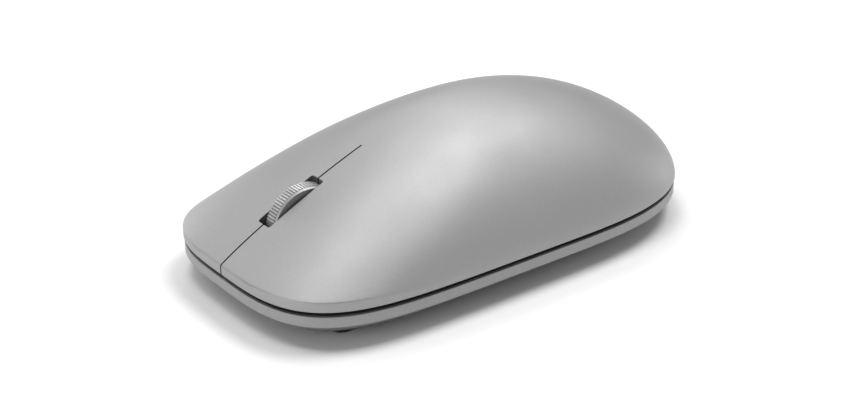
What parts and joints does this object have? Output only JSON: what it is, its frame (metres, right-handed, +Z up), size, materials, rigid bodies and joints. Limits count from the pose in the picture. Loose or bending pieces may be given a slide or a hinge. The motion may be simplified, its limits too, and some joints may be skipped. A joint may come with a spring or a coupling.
{
  "type": "computer mouse",
  "caption": "Low wireless computer mouse: domed shell slit into two flexing buttons, ribbed metal scroll wheel, groove round the base, battery door and slide feet beneath.",
  "frame": {"origin": "on the resting surface, under the middle of the body", "axes": "+Z up, +Y towards the palm end, -Y towards the wheel end, +X the side of the left button"},
  "size_m": [0.0604, 0.1072, 0.0312],
  "materials": {
    "shell_grey": "pearl grey paint, satin",
    "base_grey": "light grey moulded plastic, fine texture",
    "dark_plastic": "black moulded ABS",
    "wheel_metal": "ribbed and polished metal",
    "white_plastic": "natural acetal",
    "clear_plastic": "clear moulded lens",
    "board_green": "solder mask on glass epoxy",
    "chip_black": "moulded epoxy package",
    "spring_steel": "nickel-plated spring wire",
    "contact_metal": "nickel-plated sheet",
    "cell_label": "printed foil label on a steel can",
    "foot_ptfe": "low-friction sheet",
    "screw_steel": "zinc-plated steel"
  },
  "bodies": {
    "housing": {"palm_cover": "shell_grey", "base_shell": "base_grey", "chassis_ring": "dark_plastic", "circuit_board": "board_green", "board_chips": "chip_black", "left_switch_case": "dark_plastic", "right_switch_case": "dark_plastic", "middle_switch_case": "dark_plastic", "sensor_chip": "chip_black", "sensor_lens": "clear_plastic", "sensor_led": "clear_plastic", "wheel_spring": "spring_steel", "battery_tray": "dark_plastic", "battery_left": "cell_label", "battery_right": "cell_label", "contact_plate_front": "contact_metal", "contact_pad_front": "contact_metal", "contact_bridge_rear": "contact_metal", "contact_spring_front": "spring_steel", "contact_spring_rear": "spring_steel", "power_switch": "contact_metal", "pair_switch": "contact_metal", "status_light": "clear_plastic", "housing_screws": "screw_steel", "foot_front_left": "foot_ptfe", "foot_front_right": "foot_ptfe", "foot_rear_left": "foot_ptfe", "foot_rear_right": "foot_ptfe"},
    "left_button": {"left_button": "shell_grey"},
    "right_button": {"right_button": "shell_grey"},
    "left_plunger": {"left_switch_plunger": "white_plastic"},
    "right_plunger": {"right_switch_plunger": "white_plastic"},
    "middle_plunger": {"middle_switch_plunger": "white_plastic"},
    "cradle": {"wheel_cradle": "white_plastic", "encoder_body": "dark_plastic"},
    "wheel": {"wheel_tyre": "wheel_metal", "wheel_hub": "dark_plastic", "encoder_rotor": "white_plastic"},
    "door": {"battery_door": "base_grey"},
    "slider": {"power_slider": "dark_plastic", "power_lever": "white_plastic"},
    "pair": {"pair_button": "dark_plastic"}
  },
  "joints": [
    {"name": "left_button_press", "type": "hinge", "parent": "housing", "child": "left_button", "pos_m": [0.012, -0.0207, 0.018], "axis": [1, 0, 0], "range_deg": [0, 0.9], "stiffness_Nm_per_rad": 0.8, "springref_deg": -0.23},
    {"name": "right_button_press", "type": "hinge", "parent": "housing", "child": "right_button", "pos_m": [-0.012, -0.0207, 0.018], "axis": [1, 0, 0], "range_deg": [0, 0.9], "stiffness_Nm_per_rad": 0.8, "springref_deg": -0.23},
    {"name": "left_switch_travel", "type": "slide", "parent": "housing", "child": "left_plunger", "axis": [0, 0, 1], "range_m": [-0.0003, 0]},
    {"name": "right_switch_travel", "type": "slide", "parent": "housing", "child": "right_plunger", "axis": [0, 0, 1], "range_m": [-0.0003, 0]},
    {"name": "wheel_click", "type": "hinge", "parent": "housing", "child": "cradle", "pos_m": [0, -0.046, 0.0076], "axis": [-1, 0, 0], "range_deg": [0, 1], "stiffness_Nm_per_rad": 0.8, "springref_deg": -0.57, "deforming": ["wheel_spring"]},
    {"name": "middle_switch_travel", "type": "slide", "parent": "housing", "child": "middle_plunger", "axis": [0, 0, 1], "range_m": [-0.0005, 0]},
    {"name": "wheel_spin", "type": "hinge", "parent": "cradle", "child": "wheel", "pos_m": [0, -0.0346, 0.01305], "axis": [1, 0, 0], "continuous": true},
    {"name": "battery_door_swing", "type": "hinge", "parent": "housing", "child": "door", "pos_m": [0, -0.00505, 0.00125], "axis": [-1, 0, 0], "range_deg": [0, 100]},
    {"name": "power_slide", "type": "slide", "parent": "housing", "child": "slider", "axis": [0, 1, 0], "range_m": [0, 0.002]},
    {"name": "pair_press", "type": "slide", "parent": "housing", "child": "pair", "axis": [0, 0, 1], "range_m": [0, 0.0004], "stiffness_N_per_m": 3500, "springref_m": -0.00005}
  ],
  "couplings": [
    {"joint": "left_switch_travel", "follows": "left_button_press", "m_per_rad": -0.0173},
    {"joint": "right_switch_travel", "follows": "right_button_press", "m_per_rad": -0.0173},
    {"joint": "middle_switch_travel", "follows": "wheel_click", "m_per_rad": -0.0266}
  ]
}
